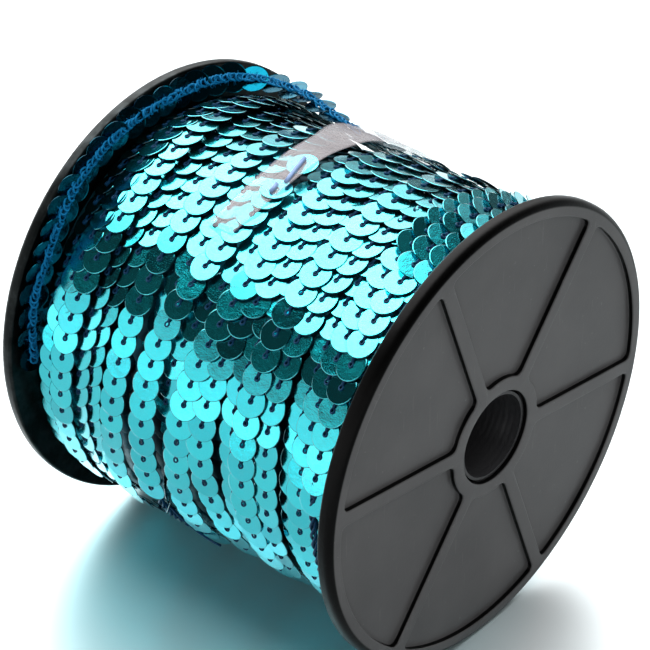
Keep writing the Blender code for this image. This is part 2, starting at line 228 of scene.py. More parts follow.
def panel_loop(inset):
    """The outline of one sunk panel, drawn in by an inset, about the reel's axis."""
    half_rib = RIB_HALF_WIDTH + inset
    sector = 2.0 * math.pi / RIB_COUNT
    corners = []
    for radius, steps, outer in ((RIM_BAND_RADIUS - inset, 22, True),
                                 (HUB_RING_RADIUS + inset, 8, False)):
        edge = math.asin(half_rib / radius)
        clear = PANEL_CORNER * 1.6 / radius
        stops = [edge] + [edge + clear + (sector - 2.0 * (edge + clear)) * step / steps
                          for step in range(steps + 1)] + [sector - edge]
        for place, turn in enumerate(stops if outer else reversed(stops)):
            is_sharp = place in (0, len(stops) - 1)
            corners.append((Vector((radius * math.cos(turn), radius * math.sin(turn))), is_sharp))
    return rounded_corners(corners, PANEL_CORNER, 4)


def panel_levels():
    """Inset and depth of each loop of a panel's wall: soft edge, wall, fillet, floor."""
    levels = [(-MOULD_EDGE, 0.4 * MM)]
    for degrees in (0, 30, 60, 90):
        turn = math.radians(degrees)
        levels.append((MOULD_EDGE * (math.sin(turn) - 1.0), MOULD_EDGE * (math.cos(turn) - 1.0)))
    for degrees in (0, 45, 90):
        turn = math.radians(degrees)
        levels.append((MOULD_FILLET * (1.0 - math.cos(turn)),
                       MOULD_FILLET * (1.0 - math.sin(turn)) - PANEL_DEPTH))
    return levels


def lofted(form, loops):
    """Joins closed loops of vertices in turn and caps both ends."""
    for first, second in zip(loops, loops[1:]):
        for index in range(len(first)):
            following = (index + 1) % len(first)
            form.faces.new((first[index], first[following], second[following], second[index]))
    form.faces.new(loops[0][::-1])
    form.faces.new(loops[-1])


def form_to_object(form, name):
    mesh = bpy.data.meshes.new(name)
    bmesh.ops.recalc_face_normals(form, faces=form.faces)
    form.to_mesh(mesh)
    form.free()
    made = bpy.data.objects.new(name, mesh)
    bpy.context.scene.collection.objects.link(made)
    return made


def turned(form, profile, steps):
    """Turns a closed profile of (radius, place along the axis) about the reel's axis."""
    rings = []
    for radius, along in profile:
        rings.append([form.verts.new((along, radius * math.cos(2 * math.pi * step / steps),
                                      radius * math.sin(2 * math.pi * step / steps)))
                      for step in range(steps)])
    for index, ring in enumerate(rings):
        other = rings[(index + 1) % len(rings)]
        for step in range(steps):
            after = (step + 1) % steps
            form.faces.new((ring[step], ring[after], other[after], other[step]))


def flange_blank():
    """The disc before its panels are sunk, its outer face at 0 and its back below it."""
    profile = [(FLANGE_HOLE_RADIUS, -HOLE_CHAMFER), (FLANGE_HOLE_RADIUS + HOLE_CHAMFER, 0.0)]
    for degrees in (90, 72, 54, 36, 18, 0):
        turn = math.radians(degrees)
        profile.append((FLANGE_RADIUS - RIM_ROUNDING * (1.0 - math.cos(turn)),
                        -RIM_ROUNDING * (1.0 - math.sin(turn))))
    for degrees in (0, 30, 60, 90):
        turn = math.radians(degrees)
        profile.append((FLANGE_RADIUS - BACK_ROUNDING * (1.0 - math.cos(turn)),
                        BACK_ROUNDING * (1.0 - math.sin(turn)) - FLANGE_THICKNESS))
    profile.append((FLANGE_HOLE_RADIUS, -FLANGE_THICKNESS))
    form = bmesh.new()
    turned(form, profile, FLANGE_STEPS)
    return form_to_object(form, "flange_blank")


def panel_cutter():
    form = bmesh.new()
    for rib in range(RIB_COUNT):
        spin = RIB_TURN + rib * 2.0 * math.pi / RIB_COUNT
        loops = []
        for inset, height in panel_levels():
            loops.append([form.verts.new((height, x * math.cos(spin) - y * math.sin(spin),
                                          x * math.sin(spin) + y * math.cos(spin)))
                          for x, y in panel_loop(inset)])
        lofted(form, loops)
    return form_to_object(form, "panel_cutter")


def plain_mesh(source, name):
    """A new object with the mesh that source shows once its modifiers are worked out."""
    depsgraph = bpy.context.evaluated_depsgraph_get()
    mesh = bpy.data.meshes.new_from_object(source.evaluated_get(depsgraph))
    mesh.name = name
    made = bpy.data.objects.new(name, mesh)
    bpy.context.scene.collection.objects.link(made)
    return made


def take_away(*objects):
    for spent in objects:
        bpy.data.objects.remove(spent, do_unlink=True)


def finished(piece, material, sharp_degrees=None):
    """Gives a piece its finish and fixes it to the reel."""
    piece.data.materials.clear()
    piece.data.materials.append(material)
    piece.data.shade_smooth()
    if sharp_degrees is not None:
        piece.data.set_sharp_from_angle(angle=math.radians(sharp_degrees))
    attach(piece, "root")
    return piece


blank = flange_blank()
cutter = panel_cutter()
sink_panels = blank.modifiers.new("sunk_panels", "BOOLEAN")
sink_panels.operation = "DIFFERENCE"
sink_panels.solver = "EXACT"
sink_panels.object = cutter
# The two colours given to each flange are its painted shade on the walls, rim and inner side: near
# black on the near flange, and mottled dark grey on the far one, which also shows its worn rim.
near_plastic = moulded_plastic("moulded_black_plastic", 1.0, (0.002, 0.002, 0.002, 1.0),
                               (0.003, 0.003, 0.003, 1.0))
far_plastic = moulded_plastic("worn_black_plastic", -1.0, (0.003, 0.005, 0.005, 1.0),
                              (0.030, 0.036, 0.037, 1.0))
for name, side, finish in (("flange_near", 1.0, near_plastic), ("flange_far", -1.0, far_plastic)):
    moulding = plain_mesh(blank, name + "_moulding")
    turn_round = Matrix.Rotation(0.0 if side > 0 else math.pi, 4, "Z")
    place = Matrix.Translation((side * REEL_HALF_WIDTH, 0.0, AXIS_HEIGHT))
    moulding.data.transform(place @ turn_round)
    for vertex in moulding.data.vertices:
        vertex.co.z = max(vertex.co.z, 0.0)
    even_shading = moulding.modifiers.new("even_shading", "WEIGHTED_NORMAL")
    even_shading.keep_sharp = True
    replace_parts(finished(moulding, finish, 50.0), name)
take_away(blank, cutter)

# The core tube is a thin black tube pressed between the flanges. Only its end ring, a hair
# inside the flange's hole, and its dim bore can be seen, with fine rings from its trimming.

TUBE_OUTER_RADIUS = 8.7 * MM
TUBE_INNER_RADIUS = 7.9 * MM
TUBE_HALF_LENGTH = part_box("core_tube")[1][0]
TUBE_STEPS = 96


def tube_plastic():
    material, tree, shader = new_finish("trimmed_tube_plastic", (0.022, 0.022, 0.024), 0.42)
    where = object_place(tree)
    rings = node(tree, "ShaderNodeTexWave", {"Vector": where, "Scale": 260.0, "Distortion": 1.5,
                                             "Detail": 2.0}, bands_direction="X")
    dull = noise(tree, where, 300.0)
    tree.links.new(maths(tree, "MULTIPLY_ADD", dull, 0.25, 0.3), shader.inputs["Roughness"])
    bump(tree, shader, rings.outputs["Fac"], 0.3, 0.00008)
    return material


def core_tube():
    """A tube with a chamfered mouth and a shallow step inside each end."""
    step_depth = 3.0 * MM
    wall = TUBE_INNER_RADIUS + 0.25 * MM
    near = [(wall, TUBE_HALF_LENGTH), (TUBE_OUTER_RADIUS, TUBE_HALF_LENGTH)]
    outside = near + [(radius, -along) for radius, along in reversed(near)]
    inside = []
    for side in (-1.0, 1.0):
        stops = [(wall, TUBE_HALF_LENGTH - 0.5 * MM), (wall - 0.12 * MM, TUBE_HALF_LENGTH - step_depth),
                 (TUBE_INNER_RADIUS, TUBE_HALF_LENGTH - step_depth - 0.3 * MM)]
        inside += [(radius, side * along) for radius, along in (stops if side < 0 else stops[::-1])]
    form = bmesh.new()
    turned(form, outside + inside, TUBE_STEPS)
    tube = form_to_object(form, "core_tube_trimmed")
    tube.data.transform(Matrix.Translation((0.0, 0.0, AXIS_HEIGHT)))
    return tube


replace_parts(finished(core_tube(), tube_plastic(), 35.0), "core_tube")

# The wound trim: one long strip goes round the reel turn after turn, each turn crossing to
# the next at the back. The turns wander and ride up on each other, and dark gaps open
# between them. Under the outer turns lies the dense pile of the inner ones.

WOUND_RADIUS = 40.2 * MM
LAYER_LIFT = 0.85 * MM
TRIM_WIDTH = 6.0 * MM
TURN_ANGLES = (50, 80, 100, 120, 140, 160, 180, 200, 220)
TURNS = (
    {"layer": -0.6, "lean": 0,
     "across": (-34.4, -34.6, -34.6, -34.5, -34.0, -34.6, -34.7, -34.7, -34.7)},
    {"layer": 1.5, "lean": -2,
     "across": (-29.5, -30.2, -30.4, -29.7, -29.6, -30.7, -31.9, -33.0, -33.9)},
    {"layer": 2.0, "lean": 0,
     "across": (-26.8, -26.8, -26.1, -25.4, -25.9, -27.6, -28.8, -30.2, -31.6)},
    {"layer": 0.5, "lean": 9,
     "across": (-23.6, -23.0, -22.1, -22.4, -23.3, -24.1, -25.2, -26.6, -28.2)},
    {"layer": 0.0, "lean": 6,
     "across": (-19.2, -18.6, -17.8, -18.2, -19.7, -21.7, -22.5, -24.0, -25.8)},
    {"layer": 1.3, "lean": 1,
     "across": (-11.8, -12.2, -12.5, -13.1, -13.6, -14.5, -15.8, -17.6, -19.8)},
    {"layer": 0.4, "lean": 0,
     "across": (-9.8, -9.2, -8.2, -7.6, -8.2, -10.2, -11.4, -13.4, -15.0)},
    {"layer": 1.5, "lean": -7,
     "across": (-6.3, -4.8, -2.2, -2.3, -4.9, -7.0, -7.9, -8.7, -10.4)},
    {"layer": 0.2, "lean": 6,
     "across": (0.6, 0.6, 2.1, 2.3, 0.1, -3.3, -4.6, -4.8, -5.4)},
    {"layer": 1.3, "lean": -10,
     "across": (4.6, 5.2, 6.3, 6.3, 4.9, 2.6, 0.7, -0.6, -1.6)},
    {"layer": 0.6, "lean": -6,
     "across": (8.6, 9.2, 9.9, 10.3, 8.4, 6.8, 5.9, 8.0, 8.6)},
    {"layer": 0.0, "lean": 0,
     "across": (12.8, 13.0, 13.3, 13.2, 12.9, 12.5, 13.4, 13.0, 12.6)},
    {"layer": 1.3, "lean": -6,
     "across": (17.0, 17.4, 17.5, 16.8, 16.0, 16.2, 16.5, 17.3, 18.0)},
    {"layer": 0.7, "lean": 4,
     "across": (21.6, 21.8, 21.6, 20.7, 20.2, 20.7, 21.7, 21.6, 22.0)},
    {"layer": 0.0, "lean": 0,
     "across": (24.2, 24.3, 23.5, 24.2, 25.8, 26.3, 26.8, 27.0, 27.4)},
    {"layer": 0.6, "lean": -4,
     "across": (26.8, 27.0, 27.4, 28.0, 29.0, 29.3, 29.5, 29.8, 30.4)},
    {"layer": 1.2, "lean": 3,
     "across": (30.2, 30.5, 31.1, 31.7, 32.4, 32.8, 33.0, 33.6, 34.0)},
    {"layer": 0.4, "lean": 2,
     "across": (34.2, 34.4, 34.6, 34.7, 34.7, 34.7, 34.7, 34.7, 34.7)},
)
DIPS = {6: {"angle": 148.0, "layers": -2.5}, 8: {"angle": 166.0, "layers": -2.0},
        14: {"angle": 150.0, "layers": -0.8}}
SWELLS = (
    {"angle": 222, "across": -17.0, "height": 1.1, "wide": 12.0, "long": 30.0},
    {"angle": 222, "across": 20.0, "height": -0.9, "wide": 12.0, "long": 30.0},
    {"angle": 54, "across": 14.0, "height": 0.3, "wide": 12.0, "long": 25.0},
    {"angle": 54, "across": -18.0, "height": -1.1, "wide": 13.0, "long": 18.0},
)
PILE_DEPTH = 3.3 * MM
PILE_INNER_RADIUS = 9.5 * MM
PILE_HALF_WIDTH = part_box("trim_winding")[1][0]
PILE_STEPS = 120


def blend(start, end, share):
    """Moves smoothly from start to end as share goes from 0 to 1."""
    share = min(1.0, max(0.0, share))
    return start + (end - start) * share * share * (3.0 - 2.0 * share)


def smooth_table(angle, angles, values):
    """Reads a table of values at rising angles along one smooth curve."""
    if angle <= angles[0]:
        return values[0]
    for index in range(len(angles) - 1):
        if angle > angles[index + 1]:
            continue
        span = angles[index + 1] - angles[index]
        share = (angle - angles[index]) / span
        slopes = []
        for stop in (index, index + 1):
            before, after = max(0, stop - 1), min(len(angles) - 1, stop + 1)
            slopes.append((values[after] - values[before]) / (angles[after] - angles[before]))
        square, cube = share * share, share * share * share
        return ((2 * cube - 3 * square + 1) * values[index]
                + (cube - 2 * square + share) * span * slopes[0]
                + (3 * square - 2 * cube) * values[index + 1]
                + (cube - square) * span * slopes[1])
    return values[-1]


def turn_place(index, angle):
    """Where a turn runs across the reel, and its layer, from its start angle once round."""
    turn = TURNS[index]
    following = TURNS[min(index + 1, len(TURNS) - 1)]
    back_share = (angle - TURN_ANGLES[-1]) / (TURN_ANGLES[0] + 360.0 - TURN_ANGLES[-1])
    layer = blend(turn["layer"], following["layer"], back_share)
    if index in DIPS:
        layer += blend(0.0, DIPS[index]["layers"], (angle - DIPS[index]["angle"]) / 30.0 + 0.5)
        layer -= blend(0.0, DIPS[index]["layers"], back_share)
    if angle <= TURN_ANGLES[-1]:
        return smooth_table(angle, TURN_ANGLES, turn["across"]) * MM, layer
    return blend(turn["across"][-1], following["across"][0], back_share) * MM, layer


def swell(angle, across):
    """How much fuller the pile of turns is at a place."""
    total = 0.0
    for row in SWELLS:
        apart = (angle - row["angle"] + 180.0) % 360.0 - 180.0
        reach = (apart / row["long"]) ** 2 + ((across / MM - row["across"]) / row["wide"]) ** 2
        total += row["height"] * MM * math.exp(-reach)
    return total


def dark_pile():
    # Painted shade and sheen: the pile is near-black teal in place of the shade under the outer turns,
    # and lighter across each voronoi cell as a painted sheen on its scales.
    material, tree, shader = new_finish("shaded_inner_turns", (0.004, 0.020, 0.030), 0.35, 0.4)
    where = object_place(tree)
    scales = node(tree, "ShaderNodeTexVoronoi", {"Vector": where, "Scale": 420.0})
    painted_shine = ramp(tree, scales.outputs["Distance"], 0.1, 0.6, (0.003, 0.012, 0.03, 1),
                 (0.005, 0.06, 0.08, 1))
    tree.links.new(painted_shine, shader.inputs["Base Color"])
    bump(tree, shader, scales.outputs["Distance"], 0.8, 0.0004)
    return material


def inner_pile():
    """The closed ring of the inner turns, a little below the outer ones."""
    form = bmesh.new()
    profile = [(PILE_INNER_RADIUS, PILE_HALF_WIDTH)]
    stations = 60
    for station in range(stations + 1):
        profile.append((WOUND_RADIUS, PILE_HALF_WIDTH * (1.0 - 2.0 * station / stations)))
    profile.append((PILE_INNER_RADIUS, -PILE_HALF_WIDTH))
    turned(form, profile, PILE_STEPS)
    for vertex in form.verts:
        x, y, z = vertex.co
        if math.hypot(y, z) < WOUND_RADIUS / 2.0:
            continue
        angle = math.degrees(math.atan2(z, y))
        ripple = 0.15 * MM * math.sin(x / MM * 1.9 + angle / 14.0)
        radius = WOUND_RADIUS + swell(angle, x) - PILE_DEPTH + ripple
        vertex.co = (x, radius * y / math.hypot(y, z), radius * z / math.hypot(y, z))
    pile = form_to_object(form, "inner_turns_pile")
    pile.data.transform(Matrix.Translation((0.0, 0.0, AXIS_HEIGHT)))
    return pile


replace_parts(finished(inner_pile(), dark_pile(), 60.0), "trim_winding")

# The sequins are flat round punchings of metallised polyester film, about 6 mm across, with a
# small hole in the middle. They overlap along the strip like roof tiles, each held through its
# hole, so every one lies tilted on the next and a little askew.

SEQUIN_RADIUS = 2.97 * MM
SEQUIN_HOLE_RADIUS = 0.55 * MM
SEQUIN_THICKNESS = 0.09 * MM
RIM_WIDTH = 0.12 * MM
RIM_DROP = 0.06 * MM
SEQUIN_PITCH = 4.12 * MM
SEQUIN_SIDES = 24
TILE_TILT = math.radians(8.0)
WOBBLE = math.radians(2.6)
TURQUOISE = (0.012, 0.58, 0.67)
FLAT_FACE_DEGREES = 18.0
PATH_STEP = 4
BARE_STRETCHES = ({"turn": 16, "first": 176.0, "last": 222.0},
                  {"turn": 7, "first": 66.0, "last": 107.0},
                  {"turn": 7, "first": 203.0, "last": 228.0})
PRESSED_TURNS = {0: {"lean": 27.0, "until": 150.0, "over": 40.0},
                 1: {"lean": 15.0, "until": 150.0, "over": 40.0},
                 14: {"lean": -14.0, "until": 100.0, "over": 14.0},
                 15: {"lean": -30.0, "until": 106.0, "over": 12.0},
                 16: {"lean": -32.0, "until": 111.0, "over": 12.0},
                 17: {"lean": -30.0, "until": 110.0, "over": 14.0}}

OWN_LEAN = {"on_top": 0.4, "grows_from": 130.0, "grows_over": 40.0,
            "fades_from": 220.0, "fades_over": 60.0}


def metallised_film():
    material, tree, shader = new_finish("turquoise_metal_film", TURQUOISE, 0.16, 1.0)
    where = object_place(tree)
    tone = attribute(tree, "tone")
    tint = mix(tree, tone, (0.006, 0.52, 0.61, 1.0), (0.014, 0.66, 0.74, 1.0))
    grain = noise(tree, where, 3600.0, 3.0)
    flecks = ramp(tree, noise(tree, where, 4200.0, 2.0), 0.64, 0.72)
    worn = mix(tree, maths(tree, "MULTIPLY", flecks, 0.25), tint, (0.25, 0.85, 0.9, 1.0))
    # The rim's near-black colour is partly the dyed film that a punched edge shows and partly painted
    # shadow, for the dark line under each sequin's edge.
    cut_edge = attribute(tree, "cut_edge")
    edge_shaded = mix(tree, cut_edge, worn, (0.001, 0.03, 0.045, 1.0))
    tree.links.new(edge_shaded, shader.inputs["Base Color"])
    rough = maths(tree, "MULTIPLY_ADD", tone, 0.08, 0.13)
    tree.links.new(rough, shader.inputs["Roughness"])
    shader.inputs["Coat Weight"].default_value = 0.9
    shader.inputs["Coat Roughness"].default_value = 0.10
    shader.inputs["Coat IOR"].default_value = 1.6
    rolled = noise(tree, where, 380.0, 2.0)
    height = maths(tree, "MULTIPLY_ADD", rolled, 3.0, grain)
    bump(tree, shader, height, 0.6, 0.00003)
    return material


def sequin_shape(name, sides, with_hole):
    """One sequin about its own middle, bright face up, its punched rim bent down a hair."""
    half = SEQUIN_THICKNESS / 2.0
    stops = [(SEQUIN_RADIUS - RIM_WIDTH, -half), (SEQUIN_RADIUS, -half - RIM_DROP),
             (SEQUIN_RADIUS, half - RIM_DROP), (SEQUIN_RADIUS - RIM_WIDTH, half)]
    if with_hole:
        stops += [(SEQUIN_HOLE_RADIUS, half), (SEQUIN_HOLE_RADIUS, -half)]
    form = bmesh.new()
    rings = [[form.verts.new((radius * math.cos(2 * math.pi * step / sides),
                              radius * math.sin(2 * math.pi * step / sides), height))
              for step in range(sides)] for radius, height in stops]
    pairs = list(zip(rings, rings[1:]))
    if with_hole:
        pairs.append((rings[-1], rings[0]))
    for first, second in pairs:
        for step in range(sides):
            after = (step + 1) % sides
            form.faces.new((first[step], first[after], second[after], second[step]))
    if not with_hole:
        form.faces.new(rings[0][::-1])
        form.faces.new(rings[-1])
    made = form_to_object(form, name)
    # The outer rim is marked for a dark colour: partly the bare cut edge, partly painted shadow under
    # the sequin's edge.
    cut_edge = made.data.attributes.new("cut_edge", "FLOAT", "POINT")
    for vertex, value in zip(made.data.vertices, cut_edge.data):
        value.value = 1.0 if vertex.co.to_2d().length > SEQUIN_RADIUS - RIM_WIDTH / 2.0 else 0.0
    return made


def strip_guide(name, points):
    """A guide curve along a strip, from rows of point, lean in radians and 1 or 0 for shown."""
    curve = bpy.data.curves.new(name, "CURVE")
    curve.dimensions = "3D"
    spline = curve.splines.new("POLY")
    spline.points.add(len(points) - 1)
    for target, (place, lean, shown) in zip(spline.points, points):
        target.co = (*place, 1.0)
        target.tilt = lean
        target.radius = shown
    guide = bpy.data.objects.new(name, curve)
    bpy.context.scene.collection.objects.link(guide)
    return guide


def strip_rotation(tree, axis_height):
    """The rotation that lays a piece along a strip, facing outward and leaning with it."""
    place = node(tree, "GeometryNodeInputPosition").outputs["Position"]
    along = node(tree, "GeometryNodeInputTangent").outputs["Tangent"]
    middle = node(tree, "ShaderNodeCombineXYZ", {"Z": axis_height}).outputs["Vector"]
    out_of_axis = node(tree, "ShaderNodeVectorMath", {0: place, 1: middle}, operation="SUBTRACT")
    level = node(tree, "ShaderNodeVectorMath",
                 {0: out_of_axis.outputs["Vector"], 1: (0.0, 1.0, 1.0)}, operation="MULTIPLY")
    outward = node(tree, "ShaderNodeVectorMath", {0: level.outputs["Vector"]},
                   operation="NORMALIZE").outputs["Vector"]
    facing = node(tree, "FunctionNodeAxesToRotation",
                  {"Primary Axis": along, "Secondary Axis": outward},
                  primary_axis="X", secondary_axis="Z").outputs["Rotation"]
    lean = node(tree, "GeometryNodeInputCurveTilt").outputs["Tilt"]
    lean_turn = node(tree, "ShaderNodeCombineXYZ", {"X": lean}).outputs["Vector"]
    lean_rotation = node(tree, "FunctionNodeEulerToRotation", {"Euler": lean_turn})
    leaning = node(tree, "FunctionNodeRotateRotation",
                   {"Rotation": facing, "Rotate By": lean_rotation.outputs["Rotation"]},
                   rotation_space="LOCAL").outputs["Rotation"]
    return leaning


def open_tree(name, inputs):
    """A geometry tree with named inputs, as (name, kind, value) rows."""
    tree = bpy.data.node_groups.new(name, "GeometryNodeTree")
    tree.is_modifier = True
    tree.interface.new_socket("Geometry", in_out="INPUT", socket_type="NodeSocketGeometry")
    for label, kind, value in inputs:
        socket = tree.interface.new_socket(label, in_out="INPUT", socket_type=kind)
        if value is not None:
            socket.default_value = value
    tree.interface.new_socket("Geometry", in_out="OUTPUT", socket_type="NodeSocketGeometry")
    entry = tree.nodes.new("NodeGroupInput")
    return tree, entry


def close_tree(tree, geometry, finish):
    """Realises the instances, gives the finish and joins the tree to its output."""
    solid = node(tree, "GeometryNodeRealizeInstances", {"Geometry": geometry})
    painted = node(tree, "GeometryNodeSetMaterial",
                   {"Geometry": solid.outputs["Geometry"], "Material": finish})
    end = tree.nodes.new("NodeGroupOutput")
    tree.links.new(painted.outputs["Geometry"], end.inputs["Geometry"])


def pieces_along_strip_tree():
    """Sets a copy of one small piece at every pitch along a strip, tilted like a roof tile."""
    tree, entry = open_tree("pieces_along_strip", (
        ("Pitch", "NodeSocketFloat", SEQUIN_PITCH), ("Piece", "NodeSocketObject", None),
        ("Tile Tilt", "NodeSocketFloat", TILE_TILT), ("Wobble", "NodeSocketFloat", WOBBLE),
        ("Axis Height", "NodeSocketFloat", AXIS_HEIGHT), ("Seed", "NodeSocketInt", 0),
        ("Finish", "NodeSocketMaterial", None)))
    stepped = node(tree, "GeometryNodeResampleCurve",
                   {"Curve": entry.outputs["Geometry"], "Length": entry.outputs["Pitch"]},
                   mode="LENGTH")
    leaning = strip_rotation(tree, entry.outputs["Axis Height"])
    shaken = node(tree, "FunctionNodeRandomValue",
                  {0: (-1.0, -1.0, -1.0), 1: (1.0, 1.0, 1.0), "Seed": entry.outputs["Seed"]},
                  data_type="FLOAT_VECTOR")
    askew = node(tree, "ShaderNodeVectorMath",
                 {0: shaken.outputs[0], "Scale": entry.outputs["Wobble"]}, operation="SCALE")
    tile = node(tree, "ShaderNodeMath", {0: entry.outputs["Tile Tilt"], 1: -1.0},
                operation="MULTIPLY")
    tile_turn = node(tree, "ShaderNodeCombineXYZ", {"Y": tile.outputs[0]})
    both = node(tree, "ShaderNodeVectorMath",
                {0: askew.outputs["Vector"], 1: tile_turn.outputs["Vector"]}, operation="ADD")
    set_turn = node(tree, "FunctionNodeEulerToRotation", {"Euler": both.outputs["Vector"]})
    rotation = node(tree, "FunctionNodeRotateRotation",
                    {"Rotation": leaning, "Rotate By": set_turn.outputs["Rotation"]},
                    rotation_space="LOCAL")
    shown = node(tree, "FunctionNodeCompare",
                 {0: node(tree, "GeometryNodeInputRadius").outputs["Radius"], 1: 0.5},
                 data_type="FLOAT", operation="GREATER_THAN")
    piece = node(tree, "GeometryNodeObjectInfo", {"Object": entry.outputs["Piece"]})
    placed = node(tree, "GeometryNodeInstanceOnPoints",
                  {"Points": stepped.outputs["Curve"], "Instance": piece.outputs["Geometry"],
                   "Selection": shown.outputs["Result"], "Rotation": rotation.outputs["Rotation"]})
    tone = node(tree, "FunctionNodeRandomValue", {"Seed": entry.outputs["Seed"]},
                data_type="FLOAT")
    toned = node(tree, "GeometryNodeStoreNamedAttribute",
                 {"Geometry": placed.outputs["Instances"], "Name": "tone",
                  "Value": tone.outputs[1]}, data_type="FLOAT", domain="INSTANCE")
    close_tree(tree, toned.outputs["Geometry"], entry.outputs["Finish"])
    return tree


def grown(guide, tree, name, **values):
    """Runs a tree on a guide and returns the plain mesh that it makes."""
    modifier = guide.modifiers.new(tree.name, "NODES")
    modifier.node_group = tree
    for item in tree.interface.items_tree:
        label = item.name.replace(" ", "_").lower()
        if item.item_type == "SOCKET" and item.in_out == "INPUT" and label in values:
            modifier[item.identifier] = values[label]
    made = plain_mesh(guide, name)
    guide.modifiers.remove(modifier)
    return made


def outer_turn_points(first, last):
    """Points along the outer strip, from one turn through another, a few degrees apart."""
    points = []
    for index in range(first, last):
        start = TURN_ANGLES[0]
        for angle in range(start, start + 360, PATH_STEP):
            across, layer = turn_place(index, angle)
            radius = WOUND_RADIUS + swell(angle, across) + (layer - 1.0) * LAYER_LIFT
            lean = math.radians(2.5) * math.sin(angle / 23.0 + index * 2.1)
            if index in PRESSED_TURNS:
                press = PRESSED_TURNS[index]
                share = (angle - press["until"]) / press["over"] + 0.5
                lean += math.radians(press["lean"]) * blend(1.0, 0.0, share)
            grown_share = (angle - OWN_LEAN["grows_from"]) / OWN_LEAN["grows_over"]
            faded_share = (angle - OWN_LEAN["fades_from"]) / OWN_LEAN["fades_over"]
            own_share = min(blend(OWN_LEAN["on_top"], 1.0, grown_share),
                            blend(1.0, 0.0, faded_share))
            lean += math.radians(TURNS[index]["lean"]) * own_share
            is_bare = any(index == row["turn"] and row["first"] < angle < row["last"]
                          for row in BARE_STRETCHES)
            points.append((on_reel(angle, radius, across), lean, 0.0 if is_bare else 1.0))
    return points


turquoise_film = metallised_film()
sequin = sequin_shape("one_sequin", SEQUIN_SIDES, True)
strip_tree = pieces_along_strip_tree()
strip_parts = (("outer_sequins_far", 0, 9, 3), ("outer_sequins_near", 9, 18, 7))
guides = {name: strip_guide(name + "_guide", outer_turn_points(first, last))
          for name, first, last, _ in strip_parts}
for name, _, _, seed in strip_parts:
    strip = grown(guides[name], strip_tree, name, piece=sequin, seed=seed,
                  finish=turquoise_film)
    finished(strip, turquoise_film, FLAT_FACE_DEGREES)

# Every sequin is caught by a stitch: a loop of blue polyester thread comes up through the
# hole, bends back and runs under the sequin above. Only the loop and its first millimetre
# show, dark and a little glossy.

THREAD_BLUE = (0.003, 0.022, 0.062)
STITCH_THREAD_RADIUS = 0.17 * MM
KNOT_RADIUS = 0.46 * MM


def fibrous_thread(name, colour, roughness, fibre_noise, tints, relief, gloss=None):
    """Thread: its fibres shade it from dark to light and roughen it; gloss is level and tint."""
    material, tree, shader = new_finish(name, colour, roughness)
    fibres = noise(tree, object_place(tree), *fibre_noise)
    tree.links.new(mix(tree, fibres, *tints), shader.inputs["Base Color"])
    if gloss:
        shader.inputs["Specular IOR Level"].default_value = gloss[0]
        shader.inputs["Specular Tint"].default_value = gloss[1]
    bump(tree, shader, fibres, *relief)
    return material


def tube_along(form, points, radius, sides):
    """A round thread through points, closed at both ends, swept with steady frames."""
    loops = []
    reference = Vector((0.0, 0.0, 1.0))
    for index, place in enumerate(points):
        ahead = points[min(index + 1, len(points) - 1)] - points[max(index - 1, 0)]
        side = ahead.cross(reference).normalized()
        up = side.cross(ahead).normalized()
        reference = up
        loops.append([form.verts.new(place + (side * math.cos(2 * math.pi * step / sides)
                                              + up * math.sin(2 * math.pi * step / sides)) * radius)
                      for step in range(sides)])
    lofted(form, loops)


def stitch_loop():
    """The knot at one sequin's hole and the thread from it, which runs back along -X."""
    form = bmesh.new()
    around = 10
    ring = []
    for step in range(around):
        turn = 2.0 * math.pi * step / around
        centre = Vector((math.cos(turn), math.sin(turn) * 0.85, 0.0)) * KNOT_RADIUS
        centre.z = 0.10 * MM + 0.06 * MM * math.cos(turn)
        outward = Vector((math.cos(turn), math.sin(turn), 0.0))
        ring.append([form.verts.new(centre + (outward * math.cos(math.radians(60.0 * side))
                                              + Vector((0.0, 0.0, 1.0))
                                              * math.sin(math.radians(60.0 * side)))
                                    * STITCH_THREAD_RADIUS) for side in range(6)])
    for step, section in enumerate(ring):
        following = ring[(step + 1) % around]
        for side in range(6):
            after = (side + 1) % 6
            form.faces.new((section[side], section[after], following[after], following[side]))
    for drift in (-0.10, 0.12):
        path = [Vector(point) * MM for point in ((-0.40, drift, 0.12), (-0.85, drift + 0.05, 0.30),
                                                 (-1.45, drift + 0.12, 0.36),
                                                 (-2.25, drift + 0.18, 0.22))]
        tube_along(form, path, STITCH_THREAD_RADIUS * 0.9, 5)
    return form_to_object(form, "one_stitch")


blue_thread = fibrous_thread("blue_stitching_thread", THREAD_BLUE, 0.42, (5000.0, 3.0),
                             ((0.001, 0.010, 0.032, 1.0), (0.004, 0.044, 0.115, 1.0)),
                             (0.5, 0.00008), (0.35, (0.25, 0.6, 1.0, 1.0)))
stitch = stitch_loop()
for name, _, _, seed in strip_parts:
    stitches = grown(guides[name], strip_tree, name.replace("sequins", "stitches"),
                     piece=stitch, seed=seed, finish=blue_thread)
    finished(stitches, blue_thread)

# Between the outer turns the next layer down shows: the same sequins, shaded and pressed
# flat, crossing a little askew. They are kept simple, without holes.

UNDER_TURNS = 17
UNDER_DROP = 2.3 * MM
UNDER_SIDES = 16
UNDER_HALF_SPREAD = 34.6 * MM


def dark_film(name, colour, roughness, tints, crumple_noise, relief):
    """Film in shade or seen from its back: much darker, and crumpled."""
    material, tree, shader = new_finish(name, colour, roughness, 1.0)
    tint = mix(tree, attribute(tree, "tone"), *tints)
    tree.links.new(tint, shader.inputs["Base Color"])
    bump(tree, shader, noise(tree, object_place(tree), *crumple_noise), *relief)
    return material


